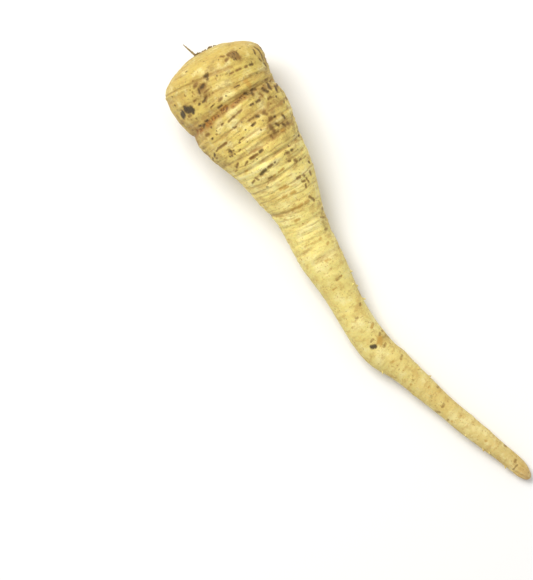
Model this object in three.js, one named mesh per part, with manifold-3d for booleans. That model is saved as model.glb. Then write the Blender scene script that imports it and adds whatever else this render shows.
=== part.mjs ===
// A parsnip: a tapering, gently bent root with its trimmed leaf-stalk bases in the hollow of the crown.
// Millimetres, +Z up. It lies on z = 0 with the crown at -X and the tip at +X.
//
// Both bodies are first built straight, in a space of their own: y runs down the root's axis from the
// crown, z is the side that faces up and x the side that faces -Y. Then every point is carried to the bent
// axis, and what dips under z = 0 is cut off, which leaves the small flat spots that the root rests on.
// A side is an angle round the axis in degrees, from the top, + towards -Y.

import * as THREE from 'three';
import { mergeVertices } from 'three/addons/utils/BufferGeometryUtils.js';
import Module from 'manifold-3d';

// the root's axis: along, across and height, with the crown's end at along 0
const axisPoints = [
  [0, 0, 25.4], [12, -2.2, 25.5], [26, -5.1, 25], [44, -5.4, 24.1], [62, -7, 21.7],
  [82, -9.3, 17.4], [103, -13.9, 14], [125, -17.1, 12.3], [147, -20, 9.7], [162, -21.1, 8],
  [170, -20.3, 7.6], [178, -17.9, 7.3], [190, -15.4, 6.8], [206, -12.2, 6.3], [222, -8.8, 6],
  [240, -4.3, 4.9], [254, -1.1, 3.5], [263.3, 0.2, 2.9],
];
const middle = { along: 128.2, across: -4.35 }; // middle of the whole outline, put over the origin

// the root's profile, as distance down the axis and radius: crown hollow, rim, shoulder, taper, tip
const crownHollow = [[7, 0], [6.7, 3.6], [5.6, 5.8], [3.6, 7.2]];
const crownDome = [[2.5, 8.5], [3.4, 11.3], [5, 15.8], [7.4, 21.3], [11, 25]];
const shoulder = [[17, 25.9], [33, 24.4], [47, 23.3], [54, 21.9]];
const taper = [
  [61.5, 19.7], [83.5, 14.4], [98, 11.6], [108, 10.7], [121, 10.6], [134, 8.7], [144, 7.8],
  [158, 8.2], [171, 8], [180, 7.4], [193, 6.2], [214, 5], [222, 5.2], [240, 4.5], [254, 4.1],
];
const tip = [[264, 3.3], [267.8, 1.9], [268.7, 0]];

const sides = 40; // facets round the root
const rows = 104; // rings of vertices from the hollow's middle to the tip
const crownRowCrowding = 0.55; // how much closer the rows are at the crown than at the tip

// ring scars and folds across the root: place down the axis, side that each one is centred on, how far
// round it reaches, depth, half width, how much nearer the crown it runs at its middle, and how much
// further down the root it dips at one side
const ringScars = [
  { at: 33.2, side: 0, reach: 210, depth: 0.9, width: 3.2, lean: 1.6, dip: 3.4 },
  { at: 36.8, side: 0, reach: 75, depth: 0.35, width: 1.6, lean: 1.2 },
  { at: 42.5, side: -28, reach: 40, depth: 0.35, width: 1.6, lean: 0.8 },
  { at: 53.5, side: -20, reach: 60, depth: 0.45, width: 2, lean: 0.6 },
  { at: 60.5, side: -15, reach: 75, depth: 0.5, width: 2, lean: 0.6 },
  { at: 70, side: -10, reach: 80, depth: 0.4, width: 2, lean: 0.4 },
];
const ringDip = { side: -95, reach: 38 }; // the side that a scar dips at, and half the dip's width (degrees)
const fold = { count: 46, from: 12, to: 128, depth: 0.42, width: 1.9, reach: 75 };
const swelling = { height: 0.022, length: 31 }; // broad unevenness, as a share of the radius
const bulges = [ // swellings, and dents where the height is negative
  { at: 21, side: 90, height: 0.9, size: 9 },
  { at: 39, side: 90, height: 1.5, size: 8 },
  { at: 17, side: -90, height: -1.2, size: 6 },
  { at: 50, side: -90, height: -1.8, size: 10 },
];
const knob = { count: 16, from: 132, to: 262, height: 0.5, size: 2.4 };

const rootlet = { count: 14, from: 118, to: 258, length: [0.7, 1.6], radius: [0.4, 0.7], sides: 5 };
const rootletSunk = 1.5; // how deep each one's root is sunk in the root

// trimmed leaf-stalk bases, in rings round the growing point: how far out, radius, the places down the axis
// that their cut tops lie between, and how far they lean outwards (degrees)
const stubClearance = 0.35; // between the stubs' foot and the crown's hollow
const stubFootTop = [[2.9, 6], [4.4, 4.8], [5.1, 0]]; // the foot that carries them: place and radius
const stubFrom = 5.5; // where they start in the foot
const stubRings = [
  { count: 1, out: 0, radius: 1.3, top: [2.2, 2.7], splay: 0 },
  { count: 6, out: 3.3, radius: 1, top: [1.6, 2.7], splay: 10 },
  { count: 9, out: 6.4, radius: 1, top: [1.3, 2.8], splay: 20 },
];
const driedStalk = { side: 92, out: 5.7, radius: 0.8, tipRadius: 0.25, from: 5.5, to: -5.9, splay: 22 };

const seed = 4127;

function seeded(start) {
  let state = start;
  return (low = 0, high = 1) => {
    state = (state + 0x6d2b79f5) | 0;
    let mixed = Math.imul(state ^ (state >>> 15), 1 | state);
    mixed = (mixed + Math.imul(mixed ^ (mixed >>> 7), 61 | mixed)) ^ mixed;
    return low + ((high - low) * ((mixed ^ (mixed >>> 14)) >>> 0)) / 4294967296;
  };
}

const radians = THREE.MathUtils.degToRad;
const draw = seeded(seed);

// ---- the bent axis ----

const axis = new THREE.CatmullRomCurve3(axisPoints.map(
  ([along, across, height]) => new THREE.Vector3(along - middle.along, across - middle.across, height)));
axis.arcLengthDivisions = 1000;
const axisLength = axis.getLength();

function bend(point) {
  const share = THREE.MathUtils.clamp(point.y / axisLength, 0, 1);
  const centre = axis.getPointAt(share);
  const forward = axis.getTangentAt(share);
  const across = forward.clone().cross(new THREE.Vector3(0, 0, 1)).normalize();
  const up = across.clone().cross(forward);
  return point.set(
    centre.x + across.x * point.x + up.x * point.z + forward.x * (point.y - share * axisLength),
    centre.y + across.y * point.x + up.y * point.z + forward.y * (point.y - share * axisLength),
    centre.z + across.z * point.x + up.z * point.z + forward.z * (point.y - share * axisLength));
}

// ---- solids ----

const wasm = await Module();
wasm.setup();

function solid(geometry) {
  const plain = geometry.index ? geometry.clone() : geometry;
  plain.deleteAttribute('normal');
  plain.deleteAttribute('uv');
  const merged = mergeVertices(plain, 1e-4);
  return new wasm.Manifold(new wasm.Mesh({
    numProp: 3,
    vertProperties: new Float32Array(merged.attributes.position.array),
    triVerts: new Uint32Array(merged.index.array),
  }));
}

function geometryOf(body) {
  const mesh = body.getMesh();
  const geometry = new THREE.BufferGeometry();
  geometry.setAttribute('position', new THREE.BufferAttribute(mesh.vertProperties, 3));
  geometry.setIndex(new THREE.BufferAttribute(mesh.triVerts, 1));
  return geometry;
}

function movePoints(geometry, move) {
  const position = geometry.attributes.position;
  const point = new THREE.Vector3();
  for (let i = 0; i < position.count; i += 1) {
    move(point.fromBufferAttribute(position, i));
    position.setXYZ(i, point.x, point.y, point.z);
  }
  return geometry;
}

// a piece that grows out of the straight root at a place down the axis and a side, along its own +Y
function grow(geometry, at, side, out, splay) {
  geometry.rotateX(radians(splay));
  geometry.translate(0, at, out);
  return geometry.rotateY(radians(side));
}

// ---- relief of the skin ----

const folds = Array.from({ length: fold.count }, () => ({
  at: fold.from + (fold.to - fold.from) * draw() ** 1.3,
  side: draw(-180, 180),
  reach: fold.reach * draw(0.35, 1),
  depth: fold.depth * draw(0.4, 1),
  width: fold.width * draw(0.75, 1.25),
  lean: draw(-1, 1),
}));
const knobs = Array.from({ length: knob.count }, () => ({
  at: draw(knob.from, knob.to),
  side: draw(-180, 180),
  height: knob.height * draw(0.4, 1),
  size: knob.size * draw(0.7, 1.3),
}));
const wave = Array.from({ length: 4 }, () => draw(0, 2 * Math.PI));

const turn = (side, from) => Math.abs(THREE.MathUtils.euclideanModulo(side - from + 180, 360) - 180);

// a furrow across the root with low lips, deepest at its middle
function furrow(at, side, { at: middleAt, side: middleSide, reach, depth, width, lean, dip = 0 }) {
  const round = turn(side, middleSide) / reach;
  if (round >= 1) {
    return 0;
  }
  const dipped = dip * Math.exp(-((turn(side, ringDip.side) / ringDip.reach) ** 2));
  const off = (at - middleAt - dipped + lean * Math.cos(radians(side - middleSide))) / width;
  return -depth * Math.cos((round * Math.PI) / 2) ** 0.6 * (1 - 0.7 * off * off) * Math.exp(-off * off);
}

function relief(at, side, radius) {
  const angle = radians(side);
  const uneven = Math.sin((at / swelling.length) * 2 * Math.PI + wave[0] + Math.cos(angle + wave[1]))
    * Math.cos(2 * angle + wave[2]) + 0.6 * Math.sin(3 * angle + at / swelling.length + wave[3]);
  let height = swelling.height * radius * uneven;
  for (const scar of [...ringScars, ...folds]) {
    height += furrow(at, side, scar);
  }
  for (const bump of [...bulges, ...knobs]) {
    const away = Math.hypot(at - bump.at, radians(turn(side, bump.side)) * radius) / bump.size;
    height += bump.height * Math.exp(-away * away);
  }
  return height;
}

// the relief dies out over the rim and towards the tip, so the hollow and the end stay plain, and it is low
// under the shoulder, which is pressed flat
function reliefShare(at, side, radius) {
  const thick = THREE.MathUtils.smoothstep(radius, 9, 16);
  const slim = THREE.MathUtils.smoothstep(at, 60, 90) * THREE.MathUtils.smoothstep(axisLength - at, 0, 6);
  const pressed = THREE.MathUtils.smoothstep(Math.abs(side), 130, 165)
    * (1 - THREE.MathUtils.smoothstep(at, 24, 32));
  return (thick + slim * (1 - thick)) * (1 - 0.85 * pressed);
}

// ---- the root ----

const profile = new THREE.SplineCurve([...crownHollow, ...crownDome, ...shoulder, ...taper, ...tip].map(
  ([at, radius]) => new THREE.Vector2(radius, at)));
profile.arcLengthDivisions = 2000;

function radiusAt(at) {
  let [near, far] = [0.1, 1];
  for (let i = 0; i < 30; i += 1) {
    const half = (near + far) / 2;
    [near, far] = profile.getPointAt(half).y < at ? [half, far] : [near, half];
  }
  return profile.getPointAt(near).x;
}

function straightRoot() {
  const outline = Array.from({ length: rows + 1 }, (_, row) => {
    const share = row / rows;
    const point = profile.getPointAt((1 - crownRowCrowding) * share + crownRowCrowding * share ** 1.6);
    return row === 0 || row === rows ? point.setX(0) : point;
  });
  const lathe = new THREE.LatheGeometry(outline, sides);
  return movePoints(lathe, (point) => {
    const radius = Math.hypot(point.x, point.z);
    if (radius < 1e-6) {
      return;
    }
    const side = THREE.MathUtils.radToDeg(Math.atan2(point.x, point.z));
    const share = 1 + (reliefShare(point.y, side, radius) * relief(point.y, side, radius)) / radius;
    point.x *= share;
    point.z *= share;
  });
}

function rootlets() {
  return Array.from({ length: rootlet.count }, () => {
    const at = draw(rootlet.from, rootlet.to);
    const side = draw(-130, 130);
    const length = draw(...rootlet.length);
    const radius = draw(...rootlet.radius);
    const cone = new THREE.CylinderGeometry(radius * 0.25, radius, length + rootletSunk, rootlet.sides);
    cone.translate(0, (length - rootletSunk) / 2, 0);
    return grow(cone, at, side, radiusAt(at), draw(35, 75));
  });
}

function root() {
  let body = solid(straightRoot());
  for (const piece of rootlets()) {
    body = body.add(solid(piece));
  }
  return geometryOf(body);
}

// ---- the leaf-stalk bases ----

// a stalk standing up out of the foot, between two places down the axis
function stalk(from, to, radius, tipRadius, facets) {
  const cylinder = new THREE.CylinderGeometry(tipRadius, radius, from - to, facets);
  return cylinder.rotateX(Math.PI).translate(0, (from + to) / 2, 0);
}

function leafStubs() {
  const foot = new THREE.SplineCurve(crownHollow.map(([at, radius], i) => new THREE.Vector2(
    Math.max(radius - (i * stubClearance) / 2, 0), at - stubClearance)));
  const footTop = stubFootTop.map(([at, radius]) => new THREE.Vector2(radius, at));
  let body = solid(new THREE.LatheGeometry([...foot.getPoints(6), ...footTop].reverse(), sides / 2));
  for (const { count, out, radius, top, splay } of stubRings) {
    for (let i = 0; i < count; i += 1) {
      const stub = stalk(stubFrom, draw(...top), radius, radius * draw(0.8, 1), 9);
      stub.scale(draw(1.1, 1.35), 1, draw(0.75, 0.95));
      body = body.add(solid(grow(stub, 0, (360 * (i + draw(0, 0.3))) / count, out, -splay)));
    }
  }
  const { side, out, radius, tipRadius, from, to, splay } = driedStalk;
  return geometryOf(body.add(solid(grow(stalk(from, to, radius, tipRadius, 7), 0, side, out, -splay))));
}

// ---- the parsnip, bent and resting ----

const tableSize = [400, 200, 40];
const table = solid(new THREE.BoxGeometry(...tableSize).translate(0, 0, -tableSize[2] / 2));

function resting(straight) {
  const geometry = geometryOf(solid(movePoints(straight, bend)).subtract(table));
  geometry.computeVertexNormals();
  return geometry;
}

function piece(name, straight, colour, roughness) {
  const mesh = new THREE.Mesh(resting(straight), new THREE.MeshStandardMaterial({
    color: colour, roughness, metalness: 0, flatShading: true,
  }));
  mesh.name = name;
  return mesh;
}

const parsnip = new THREE.Group();
parsnip.add(piece('parsnip_root', root(), 0xdcc892, 0.72));
parsnip.add(piece('crown_leaf_stubs', leafStubs(), 0x8d7444, 0.88));

export default parsnip;
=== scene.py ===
import bpy
import math
import numpy as np
import random
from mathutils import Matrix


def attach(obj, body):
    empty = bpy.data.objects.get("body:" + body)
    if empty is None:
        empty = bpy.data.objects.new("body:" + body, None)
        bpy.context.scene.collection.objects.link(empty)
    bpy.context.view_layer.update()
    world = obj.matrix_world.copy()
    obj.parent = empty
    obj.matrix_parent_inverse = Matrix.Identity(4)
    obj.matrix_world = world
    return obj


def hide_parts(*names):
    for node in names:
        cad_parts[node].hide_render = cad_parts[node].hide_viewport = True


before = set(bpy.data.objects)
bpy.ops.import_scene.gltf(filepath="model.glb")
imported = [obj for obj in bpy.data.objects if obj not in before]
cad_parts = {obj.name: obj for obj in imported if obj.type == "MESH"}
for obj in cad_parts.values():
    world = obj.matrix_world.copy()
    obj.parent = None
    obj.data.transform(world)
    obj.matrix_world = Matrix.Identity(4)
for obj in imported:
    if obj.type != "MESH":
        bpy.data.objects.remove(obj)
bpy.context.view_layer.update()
mm = 0.001

# camera: straight down on the root, which runs from top left to bottom right

camera = {
    "across": (0.606, 0.7955),  # the way along the table that comes out level, to the right
    "over": (-0.0165, -0.04205),  # metres
    "height": 1.515,
    "lens": 192,
}

bpy.ops.object.select_all(action="DESELECT")
bpy.ops.object.camera_add(
    location=(*camera["over"], camera["height"]),
    rotation=(0, 0, math.atan2(camera["across"][1], camera["across"][0])))
bpy.context.object.data.lens = camera["lens"]
bpy.context.scene.camera = bpy.context.object
print("camera ready")

# small helpers


def linear(code):
    # sRGB hex to the linear colour that a shader wants
    parts = [int(code[i:i + 2], 16) / 255 for i in (1, 3, 5)]
    return [c / 12.92 if c <= 0.04045 else ((c + 0.055) / 1.055) ** 2.4 for c in parts] + [1]


def addNode(tree, kind, settings, output=0):
    # settings by name, inputs by name or number; a socket given for an input is linked to it
    node = tree.nodes.new(kind)
    for name, value in settings.items():
        if isinstance(name, str) and name not in node.inputs:
            setattr(node, name, value)
        elif isinstance(value, bpy.types.NodeSocket):
            tree.links.new(value, node.inputs[name])
        else:
            node.inputs[name].default_value = value
    return node if output is None else node.outputs[output]


def overlap(tree, *parts):
    # each part is a value read between two limits, as 0 to 1 or as the two numbers that follow them;
    # gives their product
    product = None
    for value, low, high, *ends in parts:
        start, end = ends or (0, 1)
        share = addNode(tree, "ShaderNodeMapRange", {
            "interpolation_type": "SMOOTHSTEP", "Value": value, "From Min": low, "From Max": high,
            "To Min": start, "To Max": end})
        product = share if product is None else addNode(tree, "ShaderNodeMath", {
            "operation": "MULTIPLY", 0: product, 1: share})
    return product


def editMode():
    bpy.ops.object.mode_set(mode="EDIT")


def objectMode():
    bpy.ops.object.mode_set(mode="OBJECT")


def only(piece):
    # the one selected and active object
    bpy.ops.object.select_all(action="DESELECT")
    piece.select_set(True)
    bpy.context.view_layer.objects.active = piece


def selectVertices(piece, chosen):
    # ends in edit mode, with just the vertices selected that chosen(place) picks
    editMode()
    bpy.ops.mesh.select_mode(type="VERT")
    bpy.ops.mesh.select_all(action="DESELECT")
    objectMode()
    for vertex in piece.data.vertices:
        vertex.select = chosen(vertex.co)
    editMode()


def applyModifier(piece, name, kind, settings):
    only(piece)
    modifier = piece.modifiers.new(name, kind)
    for setting, value in settings.items():
        setattr(modifier, setting, value)
    bpy.ops.object.modifier_apply(modifier=modifier.name)


def places(piece):
    # every vertex's place, in millimetres
    found = np.empty(len(piece.data.vertices) * 3)
    piece.data.vertices.foreach_get("co", found)
    return found.reshape(-1, 3) / mm


def straightPlaces(piece):
    # in the straight space: how far down the root, side in degrees from the top (+ towards -Y), and
    # distance from the axis
    x, y, z = places(piece).T
    return x, np.degrees(np.arctan2(-y, z)), np.hypot(y, z)


def maskOf(piece, name):
    found = np.empty(len(piece.data.vertices))
    piece.data.attributes[name].data.foreach_get("value", found)
    return found


def storeMask(piece, name, values):
    mask = piece.data.attributes.new(name, "FLOAT", "POINT")
    mask.data.foreach_set("value", np.asarray(values, dtype=np.float32))


def storeGrownPlace(piece, down=None):
    # the place before bending, in millimetres, which the patterns follow
    grown = places(piece)
    if down is not None:
        grown[:, 0] = down
    place = piece.data.attributes.new("grown", "FLOAT_VECTOR", "POINT")
    place.data.foreach_set("vector", grown.astype(np.float32).ravel())


def smoothstep(values, low, high):
    share = np.clip((values - low) / (high - low), 0, 1)
    return share * share * (3 - 2 * share)


leastPush = 0.002  # millimetres; a vertex that would move less stays where it is


def pushAlongNormals(piece, heights):
    # heights in millimetres, as two weighted Displace modifiers: out of the surface, and into it
    for name, part, way in (("raised", heights, 1), ("sunk", -heights, -1)):
        part = np.clip(part, 0, None)
        group = piece.vertex_groups.new(name=name)
        for index in np.flatnonzero(part > leastPush):
            group.add([int(index)], float(part[index] / part.max()), "REPLACE")
        applyModifier(piece, name, "DISPLACE", {
            "vertex_group": name, "strength": way * part.max() * mm, "mid_level": 0})
    piece.vertex_groups.clear()


# the bent axis, which every piece is carried to

rootAxis = {
    "points": [  # millimetres along, across and high, the crown's end first
        (0, 0, 25.4), (12, -2.2, 25.5), (26, -5.1, 25), (44, -5.4, 24.1), (62, -7, 21.7),
        (82, -9.3, 17.4), (103, -13.9, 14), (125, -17.1, 12.3), (147, -20, 9.7), (162, -21.1, 8),
        (170, -20.3, 7.6), (178, -17.9, 7.3), (190, -15.4, 6.8), (206, -12.2, 6.3), (222, -8.8, 6),
        (240, -4.3, 4.9), (254, -1.1, 3.5), (263.3, 0.2, 2.9)],
    "middle": (128.2, -4.35),  # the outline's middle, which comes to the origin
    "fineness": 24,  # steps between two points
}

axisData = bpy.data.curves.new("rootAxis", "CURVE")
axisData.dimensions = "3D"
axisData.twist_mode = "Z_UP"
axisData.resolution_u = rootAxis["fineness"]
axisLine = axisData.splines.new("BEZIER")
axisLine.bezier_points.add(len(rootAxis["points"]) - 1)
for knot, (along, across, height) in zip(axisLine.bezier_points, rootAxis["points"]):
    knot.co = (
        (along - rootAxis["middle"][0]) * mm, (across - rootAxis["middle"][1]) * mm, height * mm)
    knot.handle_left_type = knot.handle_right_type = "AUTO"
axisCurve = bpy.data.objects.new("rootAxis", axisData)
bpy.context.scene.collection.objects.link(axisCurve)


def bendToAxis(piece):
    applyModifier(piece, "bend", "CURVE", {"object": axisCurve, "deform_axis": "POS_X"})
    selectVertices(piece, lambda place: place.z < 0)  # what dips under the table is pressed flat
    bpy.ops.transform.resize(value=(1, 1, 0), center_override=(0, 0, 0))
    objectMode()


# the root

root = {
    # distance down the axis and radius, from the hollow's middle over the rim to the tip
    "outline": [
        (6.95, 1.8), (6.7, 3.6), (5.6, 5.8), (3.6, 7.2),
        (2.5, 8.5), (3.4, 11.3), (5, 15.8), (7.4, 21.3), (11, 25),
        (17, 25.9), (33, 24.4), (47, 23.3), (54, 21.9), (61.5, 19.7), (83.5, 14.4), (98, 11.6),
        (108, 10.7), (121, 10.6), (134, 8.7), (144, 7.8), (158, 8.2), (171, 8), (180, 7.4),
        (193, 6.2), (214, 5), (222, 5.2), (240, 4.5), (254, 4.1), (264, 3.3), (267.8, 1.9)],
    "end": 268.7,
    "widestAt": 17,
    "ringSpacing": (3.8, 6.6),  # on the shoulder, and further down than fineTo
    "fineTo": 84,
    "around": 24,
    "smoothing": 3,  # subdivision levels
    "fullness": 1.0115,  # makes up for what the smoothing takes off the radius
    "rim": (-12, -3),  # how far down the skin the hollow's colour starts to fade, and ends
}


def smoothOutline(points):
    # rings along a smooth line through the points
    fine, coarse = root["ringSpacing"]
    ends = [points[0], *points, points[-1]]
    walk = []
    for before, near, far, after in zip(ends, ends[1:], ends[2:], ends[3:]):
        before, near, far, after = map(np.array, (before, near, far, after))
        spacing = fine if near[0] < root["fineTo"] else coarse
        steps = max(1, round(float(np.linalg.norm(far - near)) / spacing))
        for t in np.arange(steps) / steps:
            leave, arrive = (far - before) / 2, (after - near) / 2
            walk.append(
                (2 * near - 2 * far + leave + arrive) * t ** 3
                + (3 * far - 3 * near - 2 * leave - arrive) * t ** 2 + leave * t + near)
    return [*walk, np.array(points[-1])]


def walkDown(piece, rings):
    # how far down the skin each vertex is: the same as down the axis past the shoulder's widest ring,
    # and counted back from there over the crown's rim into the hollow
    rings = np.array([*rings, (root["end"], 0)])
    steps = np.hypot(*np.diff(rings, axis=0).T)
    walked = np.concatenate([[0], np.cumsum(steps)])
    widest = int(np.argmax(rings[:, 1]))
    walked = np.where(
        np.arange(len(rings)) < widest, walked - walked[widest] + rings[widest, 0], rings[:, 0])
    at, _, radius = straightPlaces(piece)
    radius = radius / root["fullness"]
    nearest = np.argmin(np.hypot(at[:, None] - rings[:, 0], radius[:, None] - rings[:, 1]), axis=1)
    return walked[nearest]


def straightRoot():
    rings = smoothOutline(root["outline"])
    at, radius = rings[0]
    bpy.ops.object.select_all(action="DESELECT")
    bpy.ops.mesh.primitive_circle_add(
        vertices=root["around"], radius=radius * root["fullness"] * mm, fill_type="TRIFAN",
        location=(at * mm, 0, 0), rotation=(0, -math.pi / 2, 0))
    piece = bpy.context.object
    piece.name = piece.data.name = "root_skin"
    bpy.ops.object.transform_apply()
    selectVertices(piece, lambda place: math.hypot(place.y, place.z) > radius / 2 * mm)
    for nextAt, nextRadius in rings[1:]:
        bpy.ops.mesh.extrude_region_move(
            TRANSFORM_OT_translate={"value": ((nextAt - at) * mm, 0, 0)})
        wider = nextRadius / radius
        bpy.ops.transform.resize(value=(1, wider, wider), center_override=(nextAt * mm, 0, 0))
        at, radius = nextAt, nextRadius
    bpy.ops.mesh.extrude_region_move(
        TRANSFORM_OT_translate={"value": ((root["end"] - at) * mm, 0, 0)})
    bpy.ops.mesh.merge(type="CENTER")
    bpy.ops.mesh.select_all(action="SELECT")
    bpy.ops.mesh.normals_make_consistent(inside=False)
    objectMode()
    storeMask(piece, "walk", walkDown(piece, rings))
    applyModifier(piece, "smoothing", "SUBSURF", {
        "levels": root["smoothing"], "render_levels": root["smoothing"]})
    bpy.ops.object.shade_smooth()
    return piece


rootSkin = straightRoot()
print("straight root:", len(rootSkin.data.polygons), "faces")

# relief of the skin: ring scars, folds, knobs, swellings

relief = {
    # furrows across the root: place, side of the middle, how far round it reaches, depth, half width,
    # how much nearer the crown it runs at its middle, and how much further down it dips at one side
    "ringScars": [
        (33.2, 0, 210, 0.9, 3.2, 1.6, 3.4), (36.8, 0, 75, 0.35, 1.6, 1.2),
        (42.5, -28, 40, 0.35, 1.6, 0.8), (53.5, -20, 60, 0.45, 2, 0.6),
        (60.5, -15, 75, 0.5, 2, 0.6), (70, -10, 80, 0.4, 2, 0.4)],
    "creases": [  # the sharp bottoms of those furrows
        (32.8, 0, 210, 0.4, 0.75, 1.6, 3.4), (36.8, 0, 60, 0.25, 0.6, 1.2),
        (53.4, -20, 45, 0.25, 0.6, 0.6), (60.4, -15, 60, 0.3, 0.6, 0.6),
        (69.8, -10, 60, 0.25, 0.6, 0.4)],
    "dip": (-95, 38),  # the side of it, and half its width in degrees
    "fade": 0.6,  # under 1 keeps a furrow deep for most of its reach
    "lips": 0.7,  # how much of a furrow is pushed up beside it
    "towardsCrown": 1.3,  # over 1 puts more of them near the crown
    # a pair gives two limits; three numbers give the most, and the limits of its share
    "folds": {"count": 46, "along": (12, 128), "reach": (75, 0.35, 1), "depth": (0.42, 0.4, 1),
              "width": (1.9, 0.75, 1.25), "lean": (-1, 1)},
    "wrinkles": {"count": 230, "along": (-4, 150), "reach": (8, 38), "depth": (0.08, 0.26),
                 "width": (0.55, 0.95), "lean": 0.6},
    "ridges": {"count": 80, "along": (34, 130), "reach": (14, 50), "depth": (-0.3, -0.1),
               "width": (0.8, 1.5), "lean": 0.5},
    "swelling": (0.022, 31),  # broad unevenness: share of the radius, and wavelength
    # mounds: place, side, height, size
    "bulges": [(21, 90, 0.9, 9), (39, 90, 1.5, 8), (17, -90, -1.2, 6), (50, -90, -1.8, 10)],
    "knobs": {"count": 16, "along": (132, 262), "height": (0.5, 0.4, 1), "size": (2.4, 0.7, 1.3)},
    "warts": {"count": 150, "along": (-5, 264), "height": (0.06, 0.22), "size": (0.6, 1.4)},
    # lengthwise ridges at the broken tip
    "splitEnd": {"height": 0.22, "count": 9, "twist": 0.4, "from": (250, 262)},
    "thickRoot": (9, 14),  # all of the relief shows where the radius is over the second
    "slimRoot": (60, 90),  # and past here, slim as the root is
    "tipFade": 6,
    # low under the shoulder, which is pressed flat
    "pressed": {"side": (130, 165), "until": (24, 32), "less": 0.85},
    "markDepth": {"dark": 0.25, "rust": 0.15, "grey": 0.25},  # brown marks lie as deep as rust
    "deepest": 0.6,  # lines as deep as this are the darkest
    "grownSeed": 4127,  # for what the solid root has too: folds, knobs, swellings, rootlets, leaf bases
    "seed": 4127,
}


def repeatable(seed):
    # random numbers between two limits, the same ones that the solid root was grown with
    state, word = seed, 2 ** 32

    def draw(low=0, high=1):
        nonlocal state
        state = (state + 0x6D2B79F5) % word
        mixed = (state ^ state >> 15) * (state | 1) % word
        mixed = (mixed + (mixed ^ mixed >> 7) * (mixed | 61)) % word ^ mixed
        return low + (high - low) * (mixed ^ mixed >> 14) / word

    return draw


draw = repeatable(relief["grownSeed"])


def drawPart(most, low, high):
    return most * draw(low, high)


def grownRelief():
    # folds as furrows and knobs as mounds, with their settings in that order, and the swellings' phases
    made = relief["folds"]
    low, high = made["along"]
    folds = [
        (low + (high - low) * draw() ** relief["towardsCrown"], draw(-180, 180),
         drawPart(*made["reach"]), drawPart(*made["depth"]), drawPart(*made["width"]),
         draw(*made["lean"]))
        for _ in range(made["count"])]
    made = relief["knobs"]
    knobs = [
        (draw(*made["along"]), draw(-180, 180), drawPart(*made["height"]), drawPart(*made["size"]))
        for _ in range(made["count"])]
    return folds, knobs, [draw(0, 2 * math.pi) for _ in range(4)]


def apart(side, fromSide):
    # signed degrees between two sides
    return (side - fromSide + 180) % 360 - 180


def furrow(at, side, middleAt, middleSide, reach, depth, width, lean, dip=0):
    turned = apart(side, middleSide)
    fading = np.cos(np.clip(np.abs(turned) / reach, 0, 1) * math.pi / 2) ** relief["fade"]
    dipSide, dipReach = relief["dip"]
    dipped = dip * np.exp(-(apart(side, dipSide) / dipReach) ** 2)
    off = (at - middleAt - dipped + lean * np.cos(np.radians(turned))) / width
    return -depth * fading * (1 - relief["lips"] * off ** 2) * np.exp(-off ** 2)


def mound(at, side, radius, middleAt, middleSide, height, size):
    away = np.hypot(at - middleAt, np.radians(apart(side, middleSide)) * radius) / size
    return height * np.exp(-away ** 2)


def skinHeights(at, side, radius):
    # all of the relief, and the part of it that is lines across the root
    chance = random.Random(relief["seed"])
    folds, knobs, wave = grownRelief()
    share, wavelength = relief["swelling"]
    angle = np.radians(side)
    # two and three low swellings round the root, which wander as they go down it
    heights = share * radius * (
        np.sin(at / wavelength * 2 * math.pi + wave[0] + np.cos(angle + wave[1]))
        * np.cos(2 * angle + wave[2]) + 0.6 * np.sin(3 * angle + at / wavelength + wave[3]))
    lines = np.zeros(len(at))
    for scar in relief["ringScars"] + relief["creases"] + folds:
        lines += furrow(at, side, *scar)
    for kind in ("wrinkles", "ridges"):
        made = relief[kind]
        low, high = made["along"]
        for _ in range(made["count"]):
            lines += furrow(
                at, side, low + (high - low) * chance.random() ** relief["towardsCrown"],
                chance.uniform(-180, 180), chance.uniform(*made["reach"]),
                chance.uniform(*made["depth"]), chance.uniform(*made["width"]),
                chance.uniform(-made["lean"], made["lean"]))
    for bump in relief["bulges"] + knobs:
        heights += mound(at, side, radius, *bump)
    warts = relief["warts"]
    for _ in range(warts["count"]):
        heights += mound(
            at, side, radius, chance.uniform(*warts["along"]), chance.uniform(-180, 180),
            chance.uniform(*warts["height"]), chance.uniform(*warts["size"]))
    split = relief["splitEnd"]
    lines += split["height"] * np.sin(split["count"] * angle + split["twist"] * at) * smoothstep(
        at, *split["from"])
    # it dies out over the rim and at the tip
    thick = smoothstep(radius, *relief["thickRoot"])
    slim = smoothstep(at, *relief["slimRoot"]) * smoothstep(root["end"] - at, 0, relief["tipFade"])
    flat = relief["pressed"]
    pressed = smoothstep(np.abs(side), *flat["side"]) * (1 - smoothstep(at, *flat["until"]))
    share = (thick + slim * (1 - thick)) * (1 - flat["less"] * pressed)
    return (heights + lines) * share, lines * share


# marks on the skin

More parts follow.
